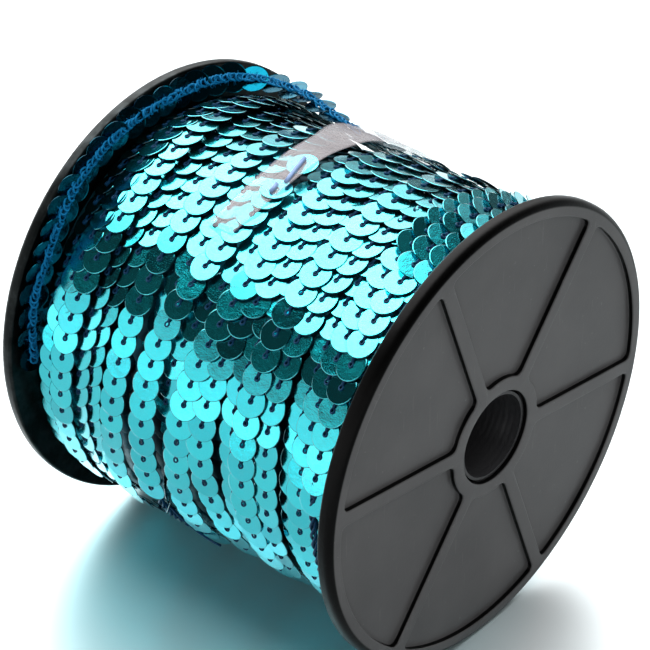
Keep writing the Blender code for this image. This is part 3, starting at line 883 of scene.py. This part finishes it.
def under_turn_points():
    """Points along the layer under the outer turns, as one strip from side to side."""
    points = []
    for index in range(UNDER_TURNS):
        for angle in range(0, 360, 6):
            share = (index + angle / 360.0) / UNDER_TURNS
            across = UNDER_HALF_SPREAD * (2.0 * share - 1.0)
            across += 0.8 * MM * math.sin(angle / 19.0 + index)
            radius = WOUND_RADIUS + swell(angle, across) - UNDER_DROP
            lean = math.radians(9.0) * math.sin(angle / 31.0 + index * 1.7)
            points.append((on_reel(angle, radius, across), lean, 1.0))
    return points


plain_sequin = sequin_shape("one_plain_sequin", UNDER_SIDES, False)
under_guide = strip_guide("under_layer_guide", under_turn_points())
under_layer = grown(under_guide, strip_tree, "under_layer_sequins", piece=plain_sequin, seed=5,
                    finish=turquoise_film)
shaded_film = dark_film("shaded_turquoise_film", (0.001, 0.04, 0.06), 0.35,
                        ((0.0005, 0.012, 0.020, 1.0), (0.002, 0.07, 0.10, 1.0)),
                        (500.0, 2.0), (0.2, 0.0001))
finished(under_layer, shaded_film, 30.0)

# In two places a turn has shed its sequins and its stitching threads lie bare, three strands
# loosely twisted: by the near flange, and under the tape, where two last sequins are left
# far apart. A short end of thread hangs under the reel.

STRAND_RADIUS = 0.26 * MM
STRAND_TWIST_RADIUS = 0.36 * MM
STRAND_TWIST_DEGREES = 9.0
STRAND_STEP_DEGREES = 0.7
LAST_SEQUIN_PITCH = 7.6 * MM
TAPED_THREAD_LIFT = 0.65 * MM
TAPED_THREAD_RADIUS = 0.40 * MM
TWISTED_STRIP_RADIUS = 39.3 * MM
TWISTED_PITCH = 2.9 * MM
TAIL_RADIUS = 0.24 * MM
LAST_SEQUINS = {"turn": 7, "first": 94.0, "last": 105.2}
TAPED_THREADS = (((92.4, -3.3), (95.0, -2.7), (98.0, -2.1), (100.5, -1.6), (102.6, -1.2)),
                 ((104.4, -2.3), (105.6, -2.0), (107.2, -1.9)))
THREAD_TAIL = ((212.0, -9.2, 40.2), (216.5, -7.6, 40.7), (219.5, -5.6, 41.1),
               (220.3, -3.4, 41.4), (220.5, -1.4, 41.5), (220.4, 0.6, 41.5), (220.0, 2.2, 41.4))
TWISTED_SEQUINS = ((202.0, -6.6, 60.0), (206.0, -7.2, 74.0), (209.5, -7.6, 68.0))


def round_thread(name, points, radius, sides=8):
    form = bmesh.new()
    tube_along(form, points, radius, sides)
    return form_to_object(form, name)


def on_turn(index, angle, lift):
    """A point above a turn's own middle."""
    across, layer = turn_place(index, angle)
    radius = WOUND_RADIUS + swell(angle, across) + (layer - 1.0) * LAYER_LIFT + lift
    return radius, across


def bare_strand(turn_index, first, last, strand, lift):
    points = []
    steps = int((last - first) / STRAND_STEP_DEGREES)
    for step in range(steps + 1):
        angle = first + (last - first) * step / steps
        radius, across = on_turn(turn_index, angle, lift)
        turn = 2.0 * math.pi * (angle / STRAND_TWIST_DEGREES + strand / 3.0)
        points.append(on_reel(angle, radius + STRAND_TWIST_RADIUS * math.sin(turn),
                              across + STRAND_TWIST_RADIUS * 1.4 * math.cos(turn)))
    return points


for name, turn_index, first, last, lift in (("bare_thread", 16, 168.0, 230.0, -0.25 * MM),
                                            ("lower_thread", 7, 205.0, 229.0, -0.6 * MM)):
    for strand in range(3):
        bare = round_thread(name + "_" + str(strand + 1),
                            bare_strand(turn_index, first, last, strand, lift), STRAND_RADIUS)
        finished(bare, blue_thread)

spread_points = []
for share in (0.0, 0.25, 0.5, 0.75, 1.0):
    angle = LAST_SEQUINS["first"] + (LAST_SEQUINS["last"] - LAST_SEQUINS["first"]) * share
    radius, across = on_turn(LAST_SEQUINS["turn"], angle, 0.1 * MM)
    spread_points.append((on_reel(angle, radius, across), 0.0, 1.0))
spread_guide = strip_guide("last_sequins_guide", spread_points)
last_sequins = grown(spread_guide, strip_tree, "last_sequins", piece=sequin, seed=4,
                     pitch=LAST_SEQUIN_PITCH, tile_tilt=math.radians(2.0), finish=turquoise_film)
finished(last_sequins, turquoise_film, FLAT_FACE_DEGREES)
pressed_thread = fibrous_thread("thread_under_tape", (0.20, 0.32, 0.60), 0.5, (2600.0, 3.0),
                                ((0.10, 0.18, 0.42, 1.0), (0.34, 0.48, 0.74, 1.0)),
                                (0.5, 0.0001))
for number, rows in enumerate(TAPED_THREADS):
    path = [on_reel(angle, on_turn(LAST_SEQUINS["turn"], angle, TAPED_THREAD_LIFT)[0], across * MM)
            for angle, across in rows]
    taped = round_thread("taped_thread_" + str(number + 1), path, TAPED_THREAD_RADIUS)
    finished(taped, pressed_thread)

twisted_points = [(on_reel(angle, TWISTED_STRIP_RADIUS, across * MM), math.radians(lean), 1.0)
                  for angle, across, lean in TWISTED_SEQUINS]
twisted_guide = strip_guide("twisted_sequins_guide", twisted_points)
twisted_sequins = grown(twisted_guide, strip_tree, "twisted_sequins", piece=sequin, seed=8,
                        pitch=TWISTED_PITCH, wobble=0.2, finish=turquoise_film)
finished(twisted_sequins, turquoise_film, FLAT_FACE_DEGREES)

tail_path = [on_reel(angle, radius * MM, across * MM) for angle, across, radius in THREAD_TAIL]
finished(round_thread("thread_tail", tail_path, TAIL_RADIUS), blue_thread)

# The end of the trim is turned over. It stands on edge against the far flange, comes over
# the top and lies down across the turns to the tape. Its back shows the chain stitch that
# holds all the sequins: a fuzzy braid of blue thread down the middle.

END_RUN = (
    {"angle": 63.5, "across": 0.0, "radius": 40.8, "tilt": 0},
    {"angle": 66.0, "across": -2.8, "radius": 41.0, "tilt": 0},
    {"angle": 68.0, "across": -6.5, "radius": 41.5, "tilt": 4},
    {"angle": 68.0, "across": -12.5, "radius": 42.6, "tilt": 14},
    {"angle": 66.5, "across": -19.0, "radius": 43.6, "tilt": 24},
    {"angle": 65.5, "across": -25.5, "radius": 43.7, "tilt": 31},
    {"angle": 67.5, "across": -31.0, "radius": 43.5, "tilt": 42},
    {"angle": 73.0, "across": -34.6, "radius": 43.0, "tilt": 56},
    {"angle": 82.0, "across": -35.9, "radius": 42.4, "tilt": 67},
    {"angle": 94.0, "across": -36.2, "radius": 42.3, "tilt": 72},
    {"angle": 106.0, "across": -36.4, "radius": 42.9, "tilt": 76},
    {"angle": 120.0, "across": -36.4, "radius": 43.6, "tilt": 78},
    {"angle": 133.0, "across": -36.4, "radius": 43.3, "tilt": 78},
    {"angle": 146.0, "across": -36.5, "radius": 42.0, "tilt": 79},
    {"angle": 160.0, "across": -36.6, "radius": 41.9, "tilt": 80},
    {"angle": 176.0, "across": -36.6, "radius": 40.6, "tilt": 80},
)
END_RUN_STEPS_PER_ROW = 12
BRAID_PITCH = 1.25 * MM
BRAID_SHOWS_FROM = 1.9
BRAID_THREAD_RADIUS = 0.20 * MM
FIBRE_RADIUS = 0.035 * MM
BRAID_LIGHT = (0.003, 0.16, 0.42)


def end_run_points(shows_from):
    points = []
    for step in range((len(END_RUN) - 1) * END_RUN_STEPS_PER_ROW + 1):
        place = step / END_RUN_STEPS_PER_ROW
        angle, across, radius, tilt = (smooth_table(place, range(len(END_RUN)),
                                                    [row[key] for row in END_RUN])
                                       for key in ("angle", "across", "radius", "tilt"))
        lean = math.pi - math.radians(tilt) + math.radians(6.0) * math.sin(place * 3.3)
        points.append((on_reel(angle, radius * MM, across * MM), lean,
                       1.0 if place >= shows_from else 0.0))
    return points


def chain_link():
    """One loop of the chain stitch on the strip's back, its round end lying on the next."""
    half_path = ((-1.35, 0.12, -0.18), (-0.75, 0.42, -0.30), (-0.05, 0.66, -0.42),
                 (0.60, 0.58, -0.58), (0.98, 0.25, -0.66))
    path = [Vector(point) * MM for point in half_path]
    path += [Vector((x, -y, z)) * MM for x, y, z in reversed(half_path)]
    form = bmesh.new()
    tube_along(form, path, BRAID_THREAD_RADIUS, 6)
    return form_to_object(form, "one_chain_link")


def fibre_tuft():
    """A few stray fibres of the chain stitch."""
    form = bmesh.new()
    for fibre in range(7):
        turn = fibre * 2.4
        lift = 0.35 + 0.5 * ((fibre * 5) % 7) / 7.0
        root = Vector((math.cos(turn) * 0.3, math.sin(turn) * 0.35, -0.4))
        tip = Vector((math.cos(turn + 0.8) * 0.9, math.sin(turn) * 0.9, -0.4 - lift))
        bend = root.lerp(tip, 0.5) + Vector((0.12, -0.1, -0.15))
        tube_along(form, [root * MM, bend * MM, tip * MM], FIBRE_RADIUS, 3)
    return form_to_object(form, "one_fibre_tuft")


end_guide = strip_guide("end_run_guide", end_run_points(0.0))
braid_guide = strip_guide("braid_guide", end_run_points(BRAID_SHOWS_FROM))
turned_over = grown(end_guide, strip_tree, "turned_over_sequins", piece=sequin, seed=11,
                    wobble=math.radians(7.0), finish=turquoise_film)
film_back = dark_film("dark_back_of_film", (0.001, 0.06, 0.09), 0.22,
                      ((0.0005, 0.018, 0.030, 1.0), (0.002, 0.10, 0.15, 1.0)),
                      (320.0, 3.0), (0.6, 0.0004))
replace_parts(finished(turned_over, film_back, FLAT_FACE_DEGREES), "trim_end")
light_thread = fibrous_thread("blue_chain_stitch_thread", BRAID_LIGHT, 0.5, (4200.0, 4.0),
                              ((0.0005, 0.04, 0.14, 1.0), (0.006, 0.26, 0.56, 1.0)),
                              (0.7, 0.0001), (0.25, (0.3, 0.75, 1.0, 1.0)))
link, tuft = chain_link(), fibre_tuft()
for name, piece, pitch, wobble in (("chain_stitch", link, BRAID_PITCH * 0.72, 0.42),
                                   ("chain_stitch_fibres", tuft, BRAID_PITCH * 0.5, 1.4)):
    braid = grown(braid_guide, strip_tree, name, piece=piece, pitch=pitch, seed=2, tile_tilt=0.0,
                  wobble=wobble, finish=light_thread)
    finished(braid, light_thread)

# A piece of clear packing tape holds the end down. It bridges from turn to turn, its cut
# edges stand a little off the sequins, and it has gone milky where it doesn't stick.

TAPE_ROWS = (
    {"angle": 40, "left": -6.0, "right": 4.0},
    {"angle": 54, "left": -6.5, "right": 4.5},
    {"angle": 66, "left": -7.5, "right": 2.0},
    {"angle": 74, "left": -9.2, "right": -0.6},
    {"angle": 86, "left": -8.0, "right": -1.0},
    {"angle": 100, "left": -7.4, "right": -0.4},
    {"angle": 114, "left": -8.0, "right": -1.0},
    {"angle": 122, "left": -8.8, "right": -2.4},
)
TAPE_STEPS_LONG = 60
TAPE_STEPS_WIDE = 14
TAPE_THICKNESS = 0.06 * MM
TAPE_CLEARANCE = 0.45 * MM


def clear_film():
    material, tree, shader = new_finish("clear_packing_tape", (0.42, 0.39, 0.41), 0.16)
    where = object_place(tree)
    milky = ramp(tree, noise(tree, where, 130.0, 3.0), 0.3, 0.75, (0.28, 0.28, 0.28, 1),
                 (0.42, 0.42, 0.42, 1))
    tree.links.new(milky, shader.inputs["Alpha"])
    bump(tree, shader, noise(tree, where, 160.0, 2.0), 0.25, 0.0003)
    return material


def top_of_turns(angle, across):
    """The height of the sequins at one place."""
    top = WOUND_RADIUS - PILE_DEPTH
    for index in range(len(TURNS)):
        start = angle if angle >= TURN_ANGLES[0] else angle + 360.0
        place, layer = turn_place(index, start)
        if abs(across - place) < TRIM_WIDTH / 2.0:
            top = max(top, WOUND_RADIUS + (layer - 1.0) * LAYER_LIFT)
    for row in END_RUN:
        is_near = abs(row["angle"] - angle) < 4.0 and abs(row["across"] * MM - across) < 3.2 * MM
        if is_near:
            top = max(top, row["radius"] * MM + 0.5 * MM - swell(angle, across))
    return top + swell(angle, across)


def tape_film():
    angles = [row["angle"] for row in TAPE_ROWS]
    places, heights = [], []
    for step in range(TAPE_STEPS_LONG + 1):
        angle = angles[0] + (angles[-1] - angles[0]) * step / TAPE_STEPS_LONG
        left, right = (smooth_table(angle, angles, [row[key] for row in TAPE_ROWS]) * MM
                       for key in ("left", "right"))
        row = [left + (right - left) * place / TAPE_STEPS_WIDE
               for place in range(TAPE_STEPS_WIDE + 1)]
        places.append([(angle, across) for across in row])
        heights.append([top_of_turns(angle, across) for across in row])
    for reach, pick in ((3, max), (2, None), (2, None)):
        heights = [[spread(heights, step, place, reach, pick) for place in range(len(row))]
                   for step, row in enumerate(heights)]
    form = bmesh.new()
    lines = [[form.verts.new(on_reel(angle, heights[step][place] + TAPE_CLEARANCE, across))
              for place, (angle, across) in enumerate(row)] for step, row in enumerate(places)]
    for lower, upper in zip(lines, lines[1:]):
        for place in range(len(lower) - 1):
            form.faces.new((lower[place], upper[place], upper[place + 1], lower[place + 1]))
    film = form_to_object(form, "clear_tape_film")
    thicken = film.modifiers.new("thickness", "SOLIDIFY")
    thicken.thickness = TAPE_THICKNESS
    thicken.offset = 0.0
    return film


def spread(rows, step, place, reach, pick):
    """The highest value near a place in a grid, or the mean where no pick is given."""
    near = [row[max(0, place - reach):place + reach + 1]
            for row in rows[max(0, step - reach):step + reach + 1]]
    values = [value for row in near for value in row]
    return pick(values) if pick else sum(values) / len(values)


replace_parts(finished(tape_film(), clear_film(), 60.0), "end_tape")

# Studio: a pale table top, a long soft light above and behind, and the camera as the
# photographer held it. The light is shaped to throw its bright and dark bands on the
# sequins. The table's colour is tinted teal beside the reel: painted light, for the teal
# that the sequins throw on it.

CAMERA_AZIMUTH = math.radians(41.69)
CAMERA_ELEVATION = math.radians(34.41)
CAMERA_DISTANCE = 0.4083
CAMERA_LENS_IN_PIXELS = 2160.5
PICTURE_PIXELS = 650.0
REEL_CENTRE_PIXEL_Y = 351.43
TABLE_HALF_SIZE = 3.0
TINT_PLACE = (-0.005, -0.020, 0.0)
TINT_REACH = 0.1
FILL_LIGHT = 0.30

camera_data = bpy.data.cameras.new("camera")
camera = bpy.data.objects.new("camera", camera_data)
bpy.context.scene.collection.objects.link(camera)
backwards = Vector((math.sin(CAMERA_AZIMUTH) * math.cos(CAMERA_ELEVATION),
                    -math.cos(CAMERA_AZIMUTH) * math.cos(CAMERA_ELEVATION),
                    math.sin(CAMERA_ELEVATION)))
camera.location = Vector((0.0, 0.0, AXIS_HEIGHT)) + backwards * CAMERA_DISTANCE
camera.rotation_euler = (-backwards).to_track_quat("-Z", "Y").to_euler()
camera_data.sensor_width = 36.0
camera_data.lens = CAMERA_LENS_IN_PIXELS / PICTURE_PIXELS * camera_data.sensor_width
camera_data.shift_y = (REEL_CENTRE_PIXEL_Y - PICTURE_PIXELS / 2.0) / PICTURE_PIXELS
camera_data.clip_start = 0.01
bpy.context.scene.camera = camera

floor_form = bmesh.new()
bmesh.ops.create_grid(floor_form, x_segments=1, y_segments=1, size=TABLE_HALF_SIZE)
table_top = form_to_object(floor_form, "table_top")
table_material, table_tree, table_shader = new_finish("pale_table", (0.58, 0.66, 0.68), 0.42,
                                                     0.50)
table_place = object_place(table_tree)
# Painted light: the table's colour turns teal near the reel, for the light the sequins throw on it.
under_reel = node(table_tree, "ShaderNodeVectorMath", {0: table_place, 1: TINT_PLACE},
                  operation="DISTANCE").outputs["Value"]
painted_teal_light = ramp(table_tree, maths(table_tree, "MULTIPLY", under_reel, 1.0 / TINT_REACH), 0.25, 0.60,
            (0.44, 0.74, 0.79, 1.0), (0.60, 0.645, 0.655, 1.0))
table_tree.links.new(painted_teal_light, table_shader.inputs["Base Color"])
table_top.data.materials.append(table_material)

world = bpy.data.worlds.new("studio")
world.use_nodes = True
bpy.context.scene.world = world
sky = world.node_tree
sky.nodes.clear()
direction = node(sky, "ShaderNodeTexCoord").outputs["Generated"]
parts = node(sky, "ShaderNodeSeparateXYZ", {"Vector": direction})
round_axis = maths(sky, "ARCTAN2", parts.outputs["Z"], parts.outputs["Y"])
share_round = maths(sky, "DIVIDE", round_axis, math.pi)
GLINT_LIGHT = 8.5
SOFT_LIGHT = 4.6
LIGHT_STOPS = (
    {"at": 8.0 / 180.0, "level": 0.02},
    {"at": 28.0 / 180.0, "level": 0.35},
    {"at": 58.0 / 180.0, "level": 1.0},
    {"at": 106.0 / 180.0, "level": 1.0},
    {"at": 112.0 / 180.0, "level": 0.004},
)
FRONT_STOPS = (
    {"at": 144.0 / 180.0, "level": 0.0},
    {"at": 152.0 / 180.0, "level": 0.155},
    {"at": 168.0 / 180.0, "level": 0.20},
    {"at": 178.0 / 180.0, "level": 0.34},
)
END_STOPS = (
    {"at": 0.44, "level": 0.0},
    {"at": 0.53, "level": 0.99},
)
SIDE_STOPS = (
    {"at": 0.02, "level": 0.25},
    {"at": 0.07, "level": 1.0},
    {"at": 0.56, "level": 1.0},
    {"at": 0.70, "level": 0.22},
)


def spread_stops(ramp_node, count):
    """Gives a ramp the wanted number of stops and returns them."""
    while len(ramp_node.color_ramp.elements) < count:
        ramp_node.color_ramp.elements.new(0.5)
    return ramp_node.color_ramp.elements


def light_ramp(factor, stops):
    made = node(sky, "ShaderNodeValToRGB", {"Fac": factor})
    for element, row in zip(spread_stops(made, len(stops)), stops):
        element.position = row["at"]
        element.color = (row["level"], row["level"], row["level"], 1.0)
    return made.outputs["Color"]


sideways = maths(sky, "MULTIPLY_ADD", parts.outputs["X"], 0.5, 0.5)
path = node(sky, "ShaderNodeLightPath")
seen_width = maths(sky, "SUBTRACT", 1.0, maths(sky, "MULTIPLY", light_ramp(sideways, END_STOPS),
                                               path.outputs["Is Glossy Ray"]))
width = maths(sky, "MULTIPLY", light_ramp(sideways, SIDE_STOPS), seen_width)
soft_box = maths(sky, "MULTIPLY", light_ramp(share_round, LIGHT_STOPS), width)
level = maths(sky, "ADD", soft_box, light_ramp(share_round, FRONT_STOPS))
strength = maths(sky, "MULTIPLY_ADD", path.outputs["Is Glossy Ray"], GLINT_LIGHT - SOFT_LIGHT,
                 SOFT_LIGHT)
fill = maths(sky, "MULTIPLY", maths(sky, "SUBTRACT", 1.0, path.outputs["Is Glossy Ray"]),
             FILL_LIGHT)
soft_light = node(sky, "ShaderNodeBackground",
                  {"Strength": maths(sky, "MULTIPLY_ADD", strength, level, fill)})
backdrop = node(sky, "ShaderNodeBackground", {"Color": (0.97, 0.985, 1.0, 1.0), "Strength": 1.0})
both_skies = node(sky, "ShaderNodeMixShader", {0: path.outputs["Is Camera Ray"],
                                               1: soft_light.outputs[0],
                                               2: backdrop.outputs[0]})
node(sky, "ShaderNodeOutputWorld", {"Surface": both_skies.outputs[0]})

bpy.context.scene.view_settings.view_transform = "Standard"

take_away(sequin, stitch, plain_sequin, link, tuft, under_guide, end_guide, braid_guide, spread_guide,
          twisted_guide, *guides.values())
